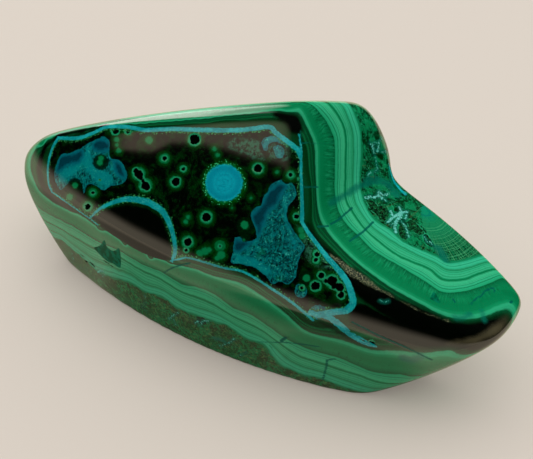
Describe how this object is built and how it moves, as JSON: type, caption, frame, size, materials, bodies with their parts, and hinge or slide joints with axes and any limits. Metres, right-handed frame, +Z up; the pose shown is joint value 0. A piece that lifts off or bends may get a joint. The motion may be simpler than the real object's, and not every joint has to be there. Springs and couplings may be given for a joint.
{
  "type": "polished malachite and chrysocolla freeform",
  "caption": "Polished freeform mineral specimen with banded green and blue-green stone, lying on a flat ground underside; a display stone or paperweight.",
  "frame": {"origin": "centre of the stone's bounding box at its underside, on the plane it rests on", "axes": "+X along the stone's length towards its low, narrow end, -Y towards the face with the blue-green pocket, +Z up"},
  "size_m": [0.1352, 0.0654, 0.0595],
  "materials": {
    "stone": "polished"
  },
  "bodies": {
    "root": {"stone": "stone"}
  },
  "joints": []
}
